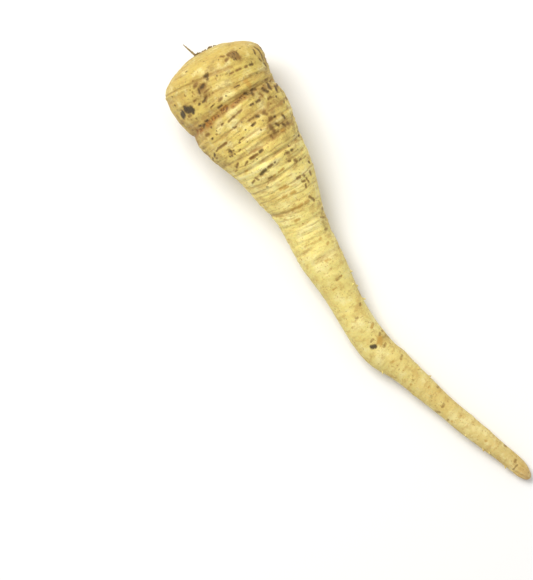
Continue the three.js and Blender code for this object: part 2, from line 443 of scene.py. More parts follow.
# each mark is a stroke of one or more points (place, side), with its half width in millimetres
marks = {
    "rust": [
        (1.4, [(31.3, 8.5), (31.6, 15)]), (1.1, [(31.9, 21), (31.9, 30.5)]),
        (1.1, [(32.2, 36), (32.2, 43)]), (1.4, [(31.8, -15), (31.6, -8.5)]),
        (1.1, [(32.3, -4), (32.4, 2)]), (0.8, [(32.5, 53), (32.3, 59)]),
        (0.6, [(31.6, 62.5), (32.6, 68)]), (0.7, [(55.9, 17), (55.9, 22)]),
        (0.5, [(129.4, -26), (129.8, -6)]), (0.7, [(32.4, 86), (32.4, 97)]),
        (0.6, [(32.8, 113), (32.8, 124)]), (0.7, [(35.5, -118), (34.9, -134)])],
    "brown": [
        (1, [(9.6, -29.5), (13.2, -30.5)]), (0.8, [(9.4, -25), (12.6, -27.5)]),
        (0.9, [(9.6, -21.5), (11.5, -23.5)]),
        (1.4, [(18, 18), (18.8, 23)]), (1, [(16, 25.5), (16.8, 29)]),
        (0.9, [(22.6, 21), (23.8, 24)]), (0.7, [(26.3, 7), (26.8, 11)]), (0.5, [(22.5, 12.5)]),
        (0.5, [(22.5, 16.5)]), (0.5, [(19.9, 12)]), (0.4, [(20.4, 15.5), (20.8, 21)]),
        (0.35, [(21.5, 26)]), (0.4, [(18.7, 34)]), (0.4, [(17.5, 36)]), (0.4, [(20, 36)]),
        (0.4, [(22, 34), (22.2, 38)]), (0.6, [(13.7, 28)]), (0.5, [(18.5, 45)]),
        (0.5, [(26, 50), (25.8, 56)]), (0.5, [(36.3, -3), (36.4, 9.5)]), (0.5, [(36.5, 11), (36.6, 17)]),
        (0.7, [(35.4, 48), (35.2, 53)]), (0.5, [(37.7, 38.5)]), (0.7, [(43.9, 36), (44.2, 50)]),
        (0.6, [(17.7, -34.5), (17.8, -32)]), (0.5, [(17.7, -27), (17.8, -20)]),
        (0.4, [(17.9, -17), (17.9, -13)]), (0.7, [(11.5, -18), (12, -15)]),
        (0.7, [(8.6, -13.5), (9.4, -16)]), (0.7, [(31.8, -58), (31.2, -52.5)]), (0.6, [(33.5, -45)]),
        (0.6, [(35.6, -33), (37, -34)]), (0.7, [(42.5, -25)]), (0.45, [(41.9, -9.5), (41.5, -1)]),
        (0.6, [(39.5, -43), (39.5, -38)]), (0.5, [(41.5, -38)]), (0.4, [(50.2, 26), (50.8, 29)]),
        (0.4, [(49, 13)]), (0.4, [(46.3, 14), (46.4, 20)]), (0.4, [(44.3, 52), (45, 56)]),
        (0.6, [(47.8, 63), (48, 66)]), (0.6, [(55.7, 11), (55.9, 22)]),
        (0.4, [(56.2, 27.5), (57.2, 34.5)]), (0.5, [(55.2, 41), (56.5, 49)]),
        (0.4, [(57.8, 51), (58, 56)]), (0.7, [(63.2, 2), (63.5, 8.5)]), (0.6, [(65, 34), (66, 32)]),
        (0.5, [(65.6, 38), (66.3, 45)]), (0.5, [(67.9, 12.5), (68, 18)]),
        (0.7, [(52.7, -49.5), (51.9, -46)]), (0.9, [(46.1, -28), (46.2, -24.5)]),
        (0.7, [(43.8, -25), (42.5, -22)]), (1.1, [(48, -20.5), (52.5, -22.5)]),
        (0.5, [(52.7, -28), (52.5, -24)]), (0.6, [(52.3, -16), (53.4, -17)]), (0.35, [(45, -17)]),
        (0.7, [(63, -28.5), (62.5, -24.5)]), (0.35, [(62.6, -21)]), (0.5, [(66.7, -26), (66.2, -22.5)]),
        (0.8, [(68.6, -36.5), (67.5, -33)]), (0.6, [(68.8, -46), (68.8, -43)]),
        (0.8, [(76.5, -56), (78, -57.5)]), (0.7, [(76.5, -39.5), (75.8, -37)]),
        (0.5, [(78, -42), (80.5, -45)]), (0.8, [(75.6, -29), (75.4, -24)]),
        (0.7, [(78.7, -36), (78.3, -31)]), (0.6, [(80.4, -36), (81.8, -34)]),
        (0.4, [(57.8, -72), (57.6, -64)]), (0.7, [(43.5, -75), (43.5, -68)]),
        (0.7, [(89.3, -44), (86.6, -34)]), (0.6, [(99.3, -62), (98.4, -50)]),
        (0.9, [(95.5, -76), (95.3, -68)]), (0.5, [(105.8, -58), (105.5, -48)]),
        (0.6, [(145.8, -45), (146.5, -38)]), (0.5, [(151, -6), (150.5, 1)]), (0.4, [(162, -14)]),
        (0.5, [(164.4, -8), (164.6, 2)]), (0.6, [(164.2, -46), (164.9, -38)]),
        (0.5, [(164.4, -72), (164.3, -60)]), (0.5, [(170.5, -36), (170.7, -20)]),
        (0.4, [(181.6, -43), (181.9, -22)]), (0.5, [(212, -4), (212.3, 14)]),
        (0.6, [(213, 52), (212, 74)]), (0.5, [(219, 50), (219.1, 65)]),
        (0.7, [(204.8, -68), (204.6, -55)]), (0.9, [(248.5, -75), (248.6, -60)]),
        (0.6, [(256.7, -26), (256.8, -10)]), (0.45, [(258.8, -5), (259.2, 50)])],
    "dark": [
        (0.5, [(10.6, -31.5), (12.6, -31)]), (0.4, [(9.2, -27.6), (11.4, -28.4)]),
        (0.5, [(11.6, -24.6), (13.3, -27)]), (0.4, [(9.8, -22), (11, -21.4)]),
        (0.9, [(17.9, 18.5), (18.6, 22.5)]), (0.5, [(22.6, 21.5), (23.2, 23.5)]),
        (1.1, [(14, 10.5), (14.3, 13)]), (0.8, [(15, 11.5), (16.3, 11.8)]),
        (0.8, [(18.8, 25.5), (19.8, 26.5)]), (0.5, [(23.9, 31.5), (24, 34)]),
        (0.5, [(23.6, 24.5), (23.9, 28)]), (0.35, [(26.9, 17.5), (27.5, 23.5)]),
        (0.3, [(28, 46), (28.1, 49.5)]), (0.5, [(29.4, 11.5), (29.4, 17)]),
        (0.6, [(31, 37.5), (30.9, 41)]), (0.7, [(31.6, 46), (32.2, 50)]),
        (0.6, [(31.1, 51), (30.8, 53.5)]), (0.45, [(36.4, 8), (36.5, 10)]),
        (0.45, [(35.8, 23.5), (35.9, 26)]), (0.5, [(37.8, 46.5), (38.2, 49.5)]),
        (0.45, [(40.6, 14), (40.5, 16.5)]), (0.7, [(12.2, -60), (13.5, -63), (17.5, -64)]),
        (0.6, [(12.8, -54), (14.2, -53)]), (0.5, [(16.7, -56), (17.8, -58.5)]),
        # the stroke from (13, -72) to (13.5, -90) is a painted shadow along the crown's edge
        (0.8, [(19.5, -63), (21.5, -66)]), (0.9, [(13, -72), (13.5, -90)]),
        (0.6, [(17.9, -43), (17.7, -38.5)]), (1.2, [(34, -54), (36.5, -51)]), (0.5, [(37.3, -50)]),
        (1.2, [(34.5, -40.5), (36.8, -43)]), (0.9, [(32.4, -32.5), (31.6, -27.5)]),
        (0.7, [(32.5, -25.5), (34.2, -25)]), (1, [(32.3, -21.5), (30.9, -18)]),
        (0.45, [(25.1, -17.5), (24.9, -10.5)]), (0.6, [(37.8, -27.5), (37.6, -23)]),
        (0.5, [(37.4, -19), (37, -14.5)]), (0.7, [(42.5, -15.5), (42.2, -12.5)]),
        # the stroke from (37, -80) to (37.8, -66) is a painted shadow in the ring scar's notch at the
        # edge
        (0.6, [(44, -7), (44.2, -2.5)]), (1, [(37.3, -62), (39, -58.5)]), (0.6, [(37, -80), (37.8, -66)]),
        (0.6, [(33.6, -66), (34, -63)]), (0.9, [(47.8, 38.5), (49, 38)]), (0.5, [(48.5, 41)]),
        (0.5, [(49, 34)]), (0.7, [(45.7, 62.5), (46.6, 66.5)]), (0.6, [(47, 73), (48.2, 80)]),
        (0.6, [(55.3, 3), (55.4, 7.5)]), (0.5, [(63.1, -3)]), (0.5, [(63.4, 8)]),
        (0.8, [(63.8, 14), (64.6, 24)]), (0.8, [(47.8, -44), (49.2, -45)]),
        (0.6, [(52.3, -41.5), (50.9, -38)]), (0.5, [(46.5, -34), (46.3, -31)]),
        (0.7, [(50.6, -32), (49.2, -29)]), (0.4, [(43.7, -60), (44.3, -57)]),
        (0.6, [(62.9, -36.5), (62.8, -33.5)]), (0.6, [(73.4, -66.5), (72.5, -62.5)]),
        (0.5, [(60.2, -75), (60.3, -66)])],
    "ochre": [
        (1.5, [(24.5, -26), (29.5, -27)]), (0.6, [(67.6, -10), (67.8, 0)]), (0.5, [(67.9, 5), (68, 9)]),
        (1, [(75.3, 2), (75.3, 12)]), (0.6, [(76.3, -2), (76.4, 6)]), (0.7, [(80.7, -9), (80.4, 0)]),
        (0.6, [(80.2, 8), (80.3, 16)]), (0.4, [(80.3, 20), (80.3, 26)]), (0.5, [(60.5, 37), (60.5, 41)]),
        (0.8, [(53, -36), (53, -33)]), (0.7, [(52, -14)]), (0.6, [(48.5, -16)]),
        (1.1, [(88, -11), (88.6, -2)]), (0.8, [(88.2, 3), (88.2, 12)]), (0.9, [(88, -28), (88.2, -20)]),
        (0.8, [(94.2, 6), (94.4, 15)]), (0.8, [(112, -38), (112.5, -32)]),
        (0.7, [(108.2, -25), (108.4, -18)]), (0.45, [(108.4, -14), (108.3, 10), (108.3, 26)]),
        (0.6, [(119.8, -17), (119.5, -4)]), (0.5, [(133, 5), (133.2, 18)]),
        (1, [(157.8, -44), (158.8, -30)]), (1.8, [(166.5, -30), (168, -20)]),
        (0.5, [(177, -44), (177, -24)]), (0.7, [(179.8, 1), (179.4, 12)]), (0.5, [(186, 4)]),
        (0.5, [(193.5, 28), (193.5, 33)]), (0.5, [(201.3, -28), (200.8, -15)]),
        (0.4, [(220.6, 33), (221, 45)]), (0.35, [(235, 8), (235, 18)]), (0.6, [(239, 2), (239, 8)])],
    "grey": [
        (1.5, [(24.3, 45), (23.4, 53.5)]), (0.8, [(25.5, 46)]), (1.2, [(24, 60.5), (24.6, 65.5)]),
        (1.1, [(167.8, 2), (167.1, 11)]), (0.35, [(119.7, 3)])],
    "soil": [  # wide weak stains
        (4, [(17.5, 20), (22, 24)]), (2.5, [(46, -23), (52.5, -22)]), (4, [(33, -50), (36, -22)]),
        (3, [(42, -52), (43, -34)]), (3, [(50, -46), (54, -36)]),
        # the strokes from (33.5, 72) to (35, 86) and from (13.5, -82) to (20, -70) are painted shade
        # along the root's edges
        (4, [(50, 64), (54, 80)]), (2, [(33.5, 72), (35, 86)]), (3, [(39, 75), (44, 84)]),
        (3, [(13.5, -82), (20, -70)]), (2.6, [(40, -66), (36, -58)]), (2, [(31, 66), (26, 76)]),
        (3, [(59, -72), (57, -60)]), (2.2, [(168, -66), (167, -52)]), (2.4, [(99, -66), (106, -54)]),
        (5, [(20, 110), (30, 150)]), (5, [(45, -120), (38, -150)]), (2, [(22, -66), (27, -60)]),
        (2.2, [(9, -26), (13, -30)])],
    # pale: strokes of painted highlight along the ridges and the lips beside the ring scars
    "pale": [
        (2, [(27, -5), (27, 5)]), (1.5, [(36, 29), (37.4, 34)]), (1.3, [(38.8, 8), (38.9, 18)]),
        (1.6, [(47.3, -4), (47.3, 12)]), (1.8, [(53.2, 2), (53, 16)]), (1.6, [(58.8, 4), (58.8, 24)]),
        (1.8, [(66.2, 6), (66.4, 28)]), (2.2, [(71.8, 14), (71.6, 44)]), (1.6, [(78.6, 2), (78.4, 18)]),
        (2, [(84.5, 12), (84, 30)]), (2.4, [(91.5, 12), (92, 34)]), (2.6, [(100, -4), (101, 12)]),
        (2.4, [(117.8, -30), (118, -8)]), (2.2, [(121.4, 4), (121.2, 22)]), (2.5, [(153, -6), (154, 14)]),
        (2.5, [(172, 0), (174, 30)]), (3, [(227, -22), (226, 2)]), (1.6, [(34.4, -2), (34.4, 12)]),
        (1.5, [(21.5, -8), (21.4, 4)])],
    # on the sides that the marks above leave bare
    "scattered": {"count": 80, "along": (-4, 250), "side": (80, 280), "width": (0.3, 0.9),
                  "reach": (0, 14), "slant": (-0.8, 0.8), "towardsCrown": 1.6, "seed": 88,
                  "upTo": 70, "near": ("brown", "ochre", "dark"), "far": ("ochre", "ochre", "brown")},
}
halving = 0.7  # exp of less this is a half


def strokeField(at, side, radius, width, points):
    # 1 on the stroke's line, a half at its half width, and 0 further out
    field = np.zeros(len(at))
    for (atA, sideA), (atB, sideB) in zip(points, points[1:] or points):
        ahead, across = atB - atA, np.radians(sideB - sideA) * radius
        x, y = at - atA, np.radians(apart(side, sideA)) * radius
        lengthSquared = np.maximum(ahead ** 2 + across ** 2, 1e-6)  # never 0, for a single point
        share = np.clip((x * ahead + y * across) / lengthSquared, 0, 1)
        away = np.hypot(x - share * ahead, y - share * across) / width
        field = np.maximum(field, np.exp(-halving * away ** 2))
    return field


def markFields(at, side, radius):
    fields = {name: np.zeros(len(at)) for name in marks if name != "scattered"}
    for name in fields:
        for width, points in marks[name]:
            fields[name] = np.maximum(fields[name], strokeField(at, side, radius, width, points))
    made = marks["scattered"]
    chance = random.Random(made["seed"])
    low, high = made["along"]
    for _ in range(made["count"]):
        start = low + (high - low) * chance.random() ** made["towardsCrown"]
        turned = chance.uniform(*made["side"])
        width, reach = chance.uniform(*made["width"]), chance.uniform(*made["reach"])
        name = chance.choice(made["near"] if start < made["upTo"] else made["far"])
        stroke = strokeField(at, side, radius, width, [
            (start, turned), (start + chance.uniform(*made["slant"]), turned + reach)])
        fields[name] = np.maximum(fields[name], stroke)
    return fields


_, side, radius = straightPlaces(rootSkin)
down = maskOf(rootSkin, "walk")
heights, lines = skinHeights(down, side, radius)
fields = markFields(down, side, radius)
depth = relief["markDepth"]
heights -= (
    depth["dark"] * fields["dark"] + depth["rust"] * (fields["rust"] + fields["brown"])
    + depth["grey"] * fields["grey"])
pushAlongNormals(rootSkin, heights)
storeGrownPlace(rootSkin, down)
storeMask(rootSkin, "sunk", np.clip(-lines / relief["deepest"], -1, 1))
for name, field in fields.items():
    storeMask(rootSkin, name, field)
storeMask(rootSkin, "hollow", 1 - smoothstep(down, *root["rim"]))
bendToAxis(rootSkin)
print("root bent and resting")

# side rootlets

rootlet = {
    "count": 14,
    "along": (118, 258),
    "side": (-130, 130),
    "length": (0.7, 1.6),  # what shows of it
    "radius": (0.4, 0.7),
    "lean": (35, 75),  # degrees outwards
    "sunk": 1.5,
    # the rest as shares of the length, or of the radius
    "foot": 1.25,
    "around": 10,
    "steps": ((0.35, 0.85), (0.2, 0.84), (0.2, 0.84), (0.15, 0.8), (0.1, 0.7)),  # long, and thinner
    "curl": (0.06, 0.1),  # how fast the steps and their middles sink, as it curls over
    "tip": 0.05,
    "smoothing": 2,
}


def oneRootlet():
    # one unit long and one unit thick at its foot, along +X, thinning and curling over
    bpy.ops.object.select_all(action="DESELECT")
    bpy.ops.mesh.primitive_circle_add(
        vertices=rootlet["around"], radius=rootlet["foot"], fill_type="TRIFAN",
        rotation=(0, -math.pi / 2, 0))
    piece = bpy.context.object
    piece.name = piece.data.name = "side_rootlets"
    bpy.ops.object.transform_apply()
    selectVertices(piece, lambda place: place.length > 0.5)
    reached, tip = 0, rootlet["tip"]
    stepCurl, middleCurl = rootlet["curl"]
    for step, thinner in rootlet["steps"]:
        bpy.ops.mesh.extrude_region_move(
            TRANSFORM_OT_translate={"value": (step, 0, -stepCurl * reached)})
        reached += step
        bpy.ops.transform.resize(
            value=(1, thinner, thinner), center_override=(reached, 0, -middleCurl * reached ** 2))
    bpy.ops.mesh.extrude_region_move(TRANSFORM_OT_translate={"value": (tip, 0, -tip)})
    bpy.ops.mesh.merge(type="CENTER")
    bpy.ops.mesh.select_all(action="SELECT")
    bpy.ops.mesh.normals_make_consistent(inside=False)
    objectMode()
    applyModifier(piece, "smoothing", "SUBSURF", {
        "levels": rootlet["smoothing"], "render_levels": rootlet["smoothing"]})
    bpy.ops.object.shade_smooth()
    return piece


def radiusAt(place):
    # the root's, past its widest ring
    tapering = [ring for ring in root["outline"] if ring[0] > root["widestAt"]]
    return float(np.interp(place, *zip(*tapering)))


def sideRootlets():
    first = oneRootlet()
    made = [first]
    for _ in range(rootlet["count"] - 1):
        copy = first.copy()
        copy.data = first.data.copy()
        bpy.context.scene.collection.objects.link(copy)
        made.append(copy)
    for piece in made:
        at, side = draw(*rootlet["along"]), draw(*rootlet["side"])
        long, radius = draw(*rootlet["length"]) + rootlet["sunk"], draw(*rootlet["radius"])
        turned, leaning = math.radians(side), math.radians(draw(*rootlet["lean"]))
        piece.scale = (long * mm, radius * mm, radius * mm)
        out = radiusAt(at) - rootlet["sunk"] * math.sin(leaning)
        piece.location = (
            (at - rootlet["sunk"] * math.cos(leaning)) * mm,
            -out * math.sin(turned) * mm, out * math.cos(turned) * mm)
        # lean first, then turn to its side
        piece.rotation_mode = "YXZ"
        piece.rotation_euler = (turned, -leaning, 0)
    bpy.ops.object.select_all(action="DESELECT")
    for piece in made:
        piece.select_set(True)
    bpy.context.view_layer.objects.active = first
    bpy.ops.object.transform_apply()
    bpy.ops.object.join()
    storeGrownPlace(first)
    bendToAxis(first)
    return first


rootlets = sideRootlets()
print("side rootlets:", rootlet["count"])

# leaf-stalk bases in the crown

leafBases = {
    # rings round the growing point: how many, how far out, radius, the places that their cut tops lie
    # between, and how far they lean out
    "rings": [(1, 0, 1.3, (2.2, 2.7), 0), (6, 3.3, 1, (1.6, 2.7), 10), (9, 6.4, 1, (1.3, 2.8), 20)],
    "narrower": (0.8, 1),  # the cut top against the foot
    "wide": (1.1, 1.35), "thin": (0.75, 0.95),  # they are oval
    "unevenly": 0.3,  # how far round one may be, against the distance between two
    "waist": 0.92, "lip": (0.3, 1.05, 0.92),  # the lip's height, and its radius under it and on it
    "pith": (1.1, 0.32),  # how deep the cut end is sunk, and the width of its edge
    "startsAt": 5.5,
    "foot": [(6.6, 1.8), (6.35, 3.4), (5.25, 5.4), (3.25, 6.7), (2.9, 6), (4.4, 4.8), (5.05, 2.4)],
    "driedStalk": {"side": 92, "out": 5.7, "lean": 22, "from": 5.5, "to": -5.9,
                   "radius": (0.75, 0.25), "steps": (0, 0.3, 0.55, 0.8, 1)},
    "around": {"foot": 24, "base": 12, "stalk": 8},
    "voxel": 0.19,
    "fibre": (0.11, 0.85),  # height of the fibres' ridges, and the distance between them
    "cut": (1, 4),  # the cut tops lie before the first of these, and the sides after the second
}


def tube(name, rings, vertices, hollow=0, edge=0):
    # closed tube along -X through rings of (place, radius), its cut end sunk in by hollow inside an
    # edge that is a share of its radius
    at, radius = rings[0]
    bpy.ops.object.select_all(action="DESELECT")
    bpy.ops.mesh.primitive_circle_add(
        vertices=vertices, radius=radius, fill_type="TRIFAN", location=(at, 0, 0),
        rotation=(0, math.pi / 2, 0))
    piece = bpy.context.object
    piece.name = piece.data.name = name
    bpy.ops.object.transform_apply()
    selectVertices(piece, lambda place: math.hypot(place.y, place.z) > radius / 2)
    for nextAt, nextRadius in rings[1:]:
        bpy.ops.mesh.extrude_region_move(TRANSFORM_OT_translate={"value": (nextAt - at, 0, 0)})
        wider = nextRadius / radius
        bpy.ops.transform.resize(value=(1, wider, wider), center_override=(nextAt, 0, 0))
        at, radius = nextAt, nextRadius
    bpy.ops.mesh.edge_face_add()
    if hollow:
        bpy.ops.mesh.inset(thickness=radius * edge)
        bpy.ops.transform.translate(value=(hollow, 0, 0))
    bpy.ops.mesh.poke()
    bpy.ops.mesh.select_all(action="SELECT")
    bpy.ops.mesh.normals_make_consistent(inside=False)
    objectMode()
    return piece


def standOut(piece, out, side, lean):
    # leans it outwards and puts it at its side of the axis, all in millimetres
    turned = math.radians(side)
    piece.rotation_mode = "YXZ"
    piece.rotation_euler = (turned, math.radians(lean), 0)
    piece.location = (0, -out * math.sin(turned), out * math.cos(turned))


def leafStalkBases():
    around = leafBases["around"]
    made = [tube("leaf_bases", leafBases["foot"], around["foot"])]
    foot = leafBases["startsAt"]
    lipHeight, underLip, onLip = leafBases["lip"]
    for count, out, radius, tops, lean in leafBases["rings"]:
        for number in range(count):
            top, tipRadius = draw(*tops), radius * draw(*leafBases["narrower"])
            middle = (foot + top) / 2
            piece = tube("leafBase", [
                (foot, radius), (middle, (radius + tipRadius) / 2 * leafBases["waist"]),
                (top + lipHeight, tipRadius * underLip), (top, tipRadius * onLip)],
                around["base"], *leafBases["pith"])
            piece.scale = (1, draw(*leafBases["wide"]), draw(*leafBases["thin"]))
            standOut(piece, out, 360 * (number + draw(0, leafBases["unevenly"])) / count, lean)
            made.append(piece)
    stalk = leafBases["driedStalk"]
    thick, thin = stalk["radius"]
    steps = [(stalk["from"] + (stalk["to"] - stalk["from"]) * share, thick + (thin - thick) * share)
             for share in stalk["steps"]]
    piece = tube("driedStalk", steps, around["stalk"])
    standOut(piece, stalk["out"], stalk["side"], stalk["lean"])
    made.append(piece)
    bpy.ops.object.select_all(action="DESELECT")
    for piece in made:
        piece.select_set(True)
    first = made[0]
    bpy.context.view_layer.objects.active = first
    bpy.ops.object.transform_apply()
    bpy.ops.object.join()
    applyModifier(first, "grownTogether", "REMESH", {
        "mode": "VOXEL", "voxel_size": leafBases["voxel"], "use_smooth_shade": True})
    applyModifier(first, "softened", "SMOOTH", {"factor": 0.5, "iterations": 3})
    only(first)
    first.scale = (mm, mm, mm)
    bpy.ops.object.transform_apply()
    x, y, z = places(first).T
    height, apartBy = leafBases["fibre"]
    turns = 2 * math.pi / apartBy
    # two wavy rows of ridges that cross, so that the fibres don't line up
    pushAlongNormals(first, height * np.sin(turns * y + 1.5 * np.sin(2.1 * z)) * np.sin(
        turns * z + 1.5 * np.sin(1.7 * y) + 0.3 * x))
    storeGrownPlace(first)
    storeMask(first, "cutTop", 1 - smoothstep(x, *leafBases["cut"]))
    bendToAxis(first)
    return first


leafStalks = leafStalkBases()
print("leaf-stalk bases:", len(leafStalks.data.polygons), "faces")

bpy.data.objects.remove(axisCurve)

# materials

skin = {
    "along": [  # share of the root's length, and its tone there
        (0, "#C8AF58"), (0.06, "#D4BD5F"), (0.15, "#E2CA68"), (0.2, "#F0DB76"), (0.25, "#FAE886"),
        (0.33, "#F4E284"), (0.42, "#ECDB81"), (0.6, "#E5D37D"), (0.78, "#DFC978"), (0.94, "#DAC277"),
        (0.975, "#D8BB74"), (1, "#C09A60")],
    "blotch": "#CCAA58", "mottle": "#B98F46", "line": "#A67B3C", "dash": "#7D5A2C", "speck": "#5E4522",
    "soil": "#8A6B36", "ochre": "#BC8E38", "rust": "#AC7022", "burnt": "#63400F", "brown": "#724F1D",
    # crevice: painted shade for the creases
    "dark": "#433213", "halo": "#9C7634", "grey": "#302616", "crevice": "#A57C3E", "hollow": "#6F5630",
    "pale": "#F7ECAA",
    "roughness": 0.6, "ior": 1.45,
    "bump": (0.6, 0.28 * mm),  # strength and height
    "ringSpacing": 3.5, "ringWaver": 1.1, "ringBreaks": 0.25,
    "dotsApart": 3.4, "dotSize": 0.72,
    "crowding": 0.6,  # how much a mark's mask counts against the noise that breaks it up
    "glow": 0.12, "glowDepth": 1.2 * mm,  # how much light goes into the flesh, and how far it spreads
}


def parsnipSkin():
    # washed root peel, grown: dry and matt with a trace of wax, so a broad dull sheen and no clear
    # highlight; the flesh under it lets light in a little and softens the shading
    material = bpy.data.materials.new("parsnip_skin")
    material.use_nodes = True
    tree = material.node_tree
    tree.nodes.clear()
    place = addNode(tree, "ShaderNodeAttribute", {"attribute_name": "grown"}, "Vector")
    down = addNode(tree, "ShaderNodeSeparateXYZ", {0: place})

    # the same place squeezed round the root, which draws patterns out across it
    squeezed = {
        name: addNode(tree, "ShaderNodeVectorMath", {
            "operation": "MULTIPLY", 0: place, 1: (1, less, less)})
        for name, less in {"mottle": 0.5, "dash": 0.3, "line": 0.13}.items()}

    # where, feature size in mm, detail, roughness
    noises = {
        name: addNode(tree, "ShaderNodeTexNoise", {
            "Vector": vector, "Scale": 1 / size, "Detail": detail, "Roughness": rough})
        for name, (vector, size, detail, rough) in {
            "broad": (place, 24, 2, 0.5), "blotch": (place, 8, 5, 0.65), "waver": (place, 13, 2, 0.5),
            "mottle": (squeezed["mottle"], 2.6, 5, 0.7), "line": (squeezed["line"], 2.2, 4, 0.6),
            "gaps": (squeezed["dash"], 3.2, 3, 0.6), "patches": (place, 5.5, 3, 0.6),
            "dash": (squeezed["dash"], 1.15, 3, 0.55), "edge": (place, 1.5, 6, 0.85),
            "speck": (place, 0.95, 2, 0.5), "grain": (place, 0.5, 2, 0.6),
            "soil": (squeezed["mottle"], 4.5, 6, 0.75)}.items()}

    # the stored masks, and each as a crowd of specks: close in its middle, and apart at its edge
    masks, crowds = {}, {}
    for name in ("sunk", "rust", "brown", "ochre", "dark", "grey", "soil", "pale", "hollow"):
        masks[name] = addNode(tree, "ShaderNodeAttribute", {"attribute_name": name}, "Fac")
        crowds[name] = addNode(tree, "ShaderNodeMath", {
            "operation": "MULTIPLY_ADD", 0: masks[name], 1: skin["crowding"], 2: noises["edge"]})

    # growth rings: lowest in the groove between two, and about a half on their backs
    rings = addNode(tree, "ShaderNodeMath", {"operation": "DIVIDE", 0: down, 1: skin["ringSpacing"]})
    rings = addNode(tree, "ShaderNodeMath", {
        "operation": "MULTIPLY_ADD", 0: noises["waver"], 1: skin["ringWaver"], 2: rings})
    rings = addNode(tree, "ShaderNodeMath", {"operation": "PINGPONG", 0: rings, 1: 0.5})
    rings = addNode(tree, "ShaderNodeMath", {
        "operation": "MULTIPLY_ADD", 0: noises["line"], 1: skin["ringBreaks"], 2: rings})
    ringed = (down, 66, 130, 1, 0.12)  # they fade down the root, and over the crown
    domed = (down, 14, 30, 0.35, 1)
    shoulder = (down, 50, 80, 1, 0.12)

    # single dots: how far inside one a point is, in the cells that have a high random value
    cells = {"Vector": place, "Scale": 1 / skin["dotsApart"]}
    dotSize = addNode(tree, "ShaderNodeSeparateXYZ", {
        0: addNode(tree, "ShaderNodeTexVoronoi", cells, "Color")})
    dotSize = addNode(tree, "ShaderNodeMath", {"operation": "MULTIPLY", 0: dotSize, 1: noises["edge"]})
    dots = addNode(tree, "ShaderNodeMath", {
        "operation": "MULTIPLY_ADD", 0: dotSize, 1: skin["dotSize"], 2: addNode(tree, "ShaderNodeMath", {
            "operation": "MULTIPLY", 0: addNode(tree, "ShaderNodeTexVoronoi", cells, "Distance"),
            1: -1})})

    layers = {  # tone, largest share, and what makes its mask
        "broadBlotches": ("blotch", 0.5, (noises["broad"], 0.42, 0.68), (down, 42, 62, 1, 0.4)),
        "creamPatches": ("pale", 0.45, (noises["blotch"], 0.5, 0.34)),
        # the pale strokes painted on as a highlight along the ridges
        "ridgeHighlights": ("pale", 0.4, (masks["pale"], 0, 1), (noises["edge"], 0.3, 0.6, 0.35, 1)),
        "blotches": ("blotch", 0.6, (noises["blotch"], 0.5, 0.66)),
        "mottling": ("mottle", 0.5, (noises["mottle"], 0.5, 0.68)),
        # raised: the ridges of the relief painted paler, a painted highlight along them
        "raised": ("pale", 0.5, (masks["sunk"], -0.08, -0.5), ringed, domed),
        "soil": ("soil", 0.55, (noises["soil"], 0.5, 0.66), shoulder),
        "stains": ("soil", 0.65, (noises["mottle"], 0.36, 0.62, 0.1, 1), (masks["soil"], 0, 1)),
        # darker lines in the grooves between growth rings: partly the rings' own brown, partly painted
        # shade in the grooves
        "ringLinesAndShade": ("line", 0.6, (rings, 0.36, 0.12), (noises["gaps"], 0.44, 0.6), ringed, domed),
        # creases: darker the deeper the relief is sunk, a painted shade in the creases
        "creases": ("crevice", 0.6, (masks["sunk"], 0.15, 0.8), (noises["mottle"], 0.35, 0.6, 0.3, 1)),
        "specks": ("line", 0.7, (noises["speck"], 0.6, 0.7), (noises["patches"], 0.58, 0.42, 0.15, 1)),
        "dashes": ("dash", 0.65, (noises["dash"], 0.6, 0.7), (noises["patches"], 0.42, 0.6),
                   (down, 70, 120, 1, 0.3)),
        "dots": ("speck", 0.8, (dots, 0.12, 0.2), (down, 56, 90, 1, 0.12)),
        "ochreMarks": ("ochre", 0.75, (crowds["ochre"], 0.66, 1.04), (masks["ochre"], 0.05, 0.4)),
        "rustHalo": ("halo", 0.5, (crowds["rust"], 0.56, 0.84), (masks["rust"], 0.05, 0.4)),
        "rustMarks": ("rust", 0.85, (crowds["rust"], 0.68, 1.02), (noises["gaps"], 0.36, 0.56, 0.25, 1)),
        "burntMarks": ("burnt", 0.85, (crowds["rust"], 0.8, 1.06), (noises["speck"], 0.4, 0.58)),
        "brownHalo": ("halo", 0.55, (crowds["brown"], 0.58, 0.86), (masks["brown"], 0.05, 0.4)),
        "brownMarks": ("brown", 0.78, (crowds["brown"], 0.7, 1.12), (down, 80, 110, 1, 0.55)),
        "darkHalo": ("halo", 0.6, (crowds["dark"], 0.56, 0.86), (masks["dark"], 0.05, 0.4)),
        "darkMarks": ("dark", 0.84, (crowds["dark"], 0.72, 1.1)),
        "greyHalo": ("halo", 0.5, (crowds["grey"], 0.56, 0.84), (masks["grey"], 0.1, 0.4)),
        "greyMarks": ("grey", 0.9, (crowds["grey"], 0.66, 0.96), (masks["grey"], 0.2, 0.5)),
        "hollow": ("hollow", 0.9, (crowds["hollow"], 0.5, 0.95)),
    }
    share = addNode(tree, "ShaderNodeMath", {"operation": "DIVIDE", 0: down, 1: root["end"]})
    ramp = tree.nodes.new("ShaderNodeValToRGB")
    tree.links.new(share, ramp.inputs["Fac"])
    stops = ramp.color_ramp.elements
    for index, (position, code) in enumerate(skin["along"]):
        stop = stops[index] if index < 2 else stops.new(position)
        stop.position = position
        stop.color = linear(code)
    colour = ramp.outputs["Color"]
    shown = {}
    for name, (tone, most, *parts) in layers.items():
        shown[name] = overlap(tree, *parts)
        shaded = addNode(tree, "ShaderNodeMath", {"operation": "MULTIPLY", 0: shown[name], 1: most})
        colour = addNode(tree, "ShaderNodeMix", {
            "data_type": "RGBA", 0: shaded, 6: colour, 7: linear(skin[tone])}, 2)
    # a last unevenness in brightness, as of dust and dry patches
    colour = addNode(tree, "ShaderNodeHueSaturation", {
        "Color": colour, "Value": overlap(tree, (noises["edge"], 0.3, 0.7, 0.92, 1.07))})

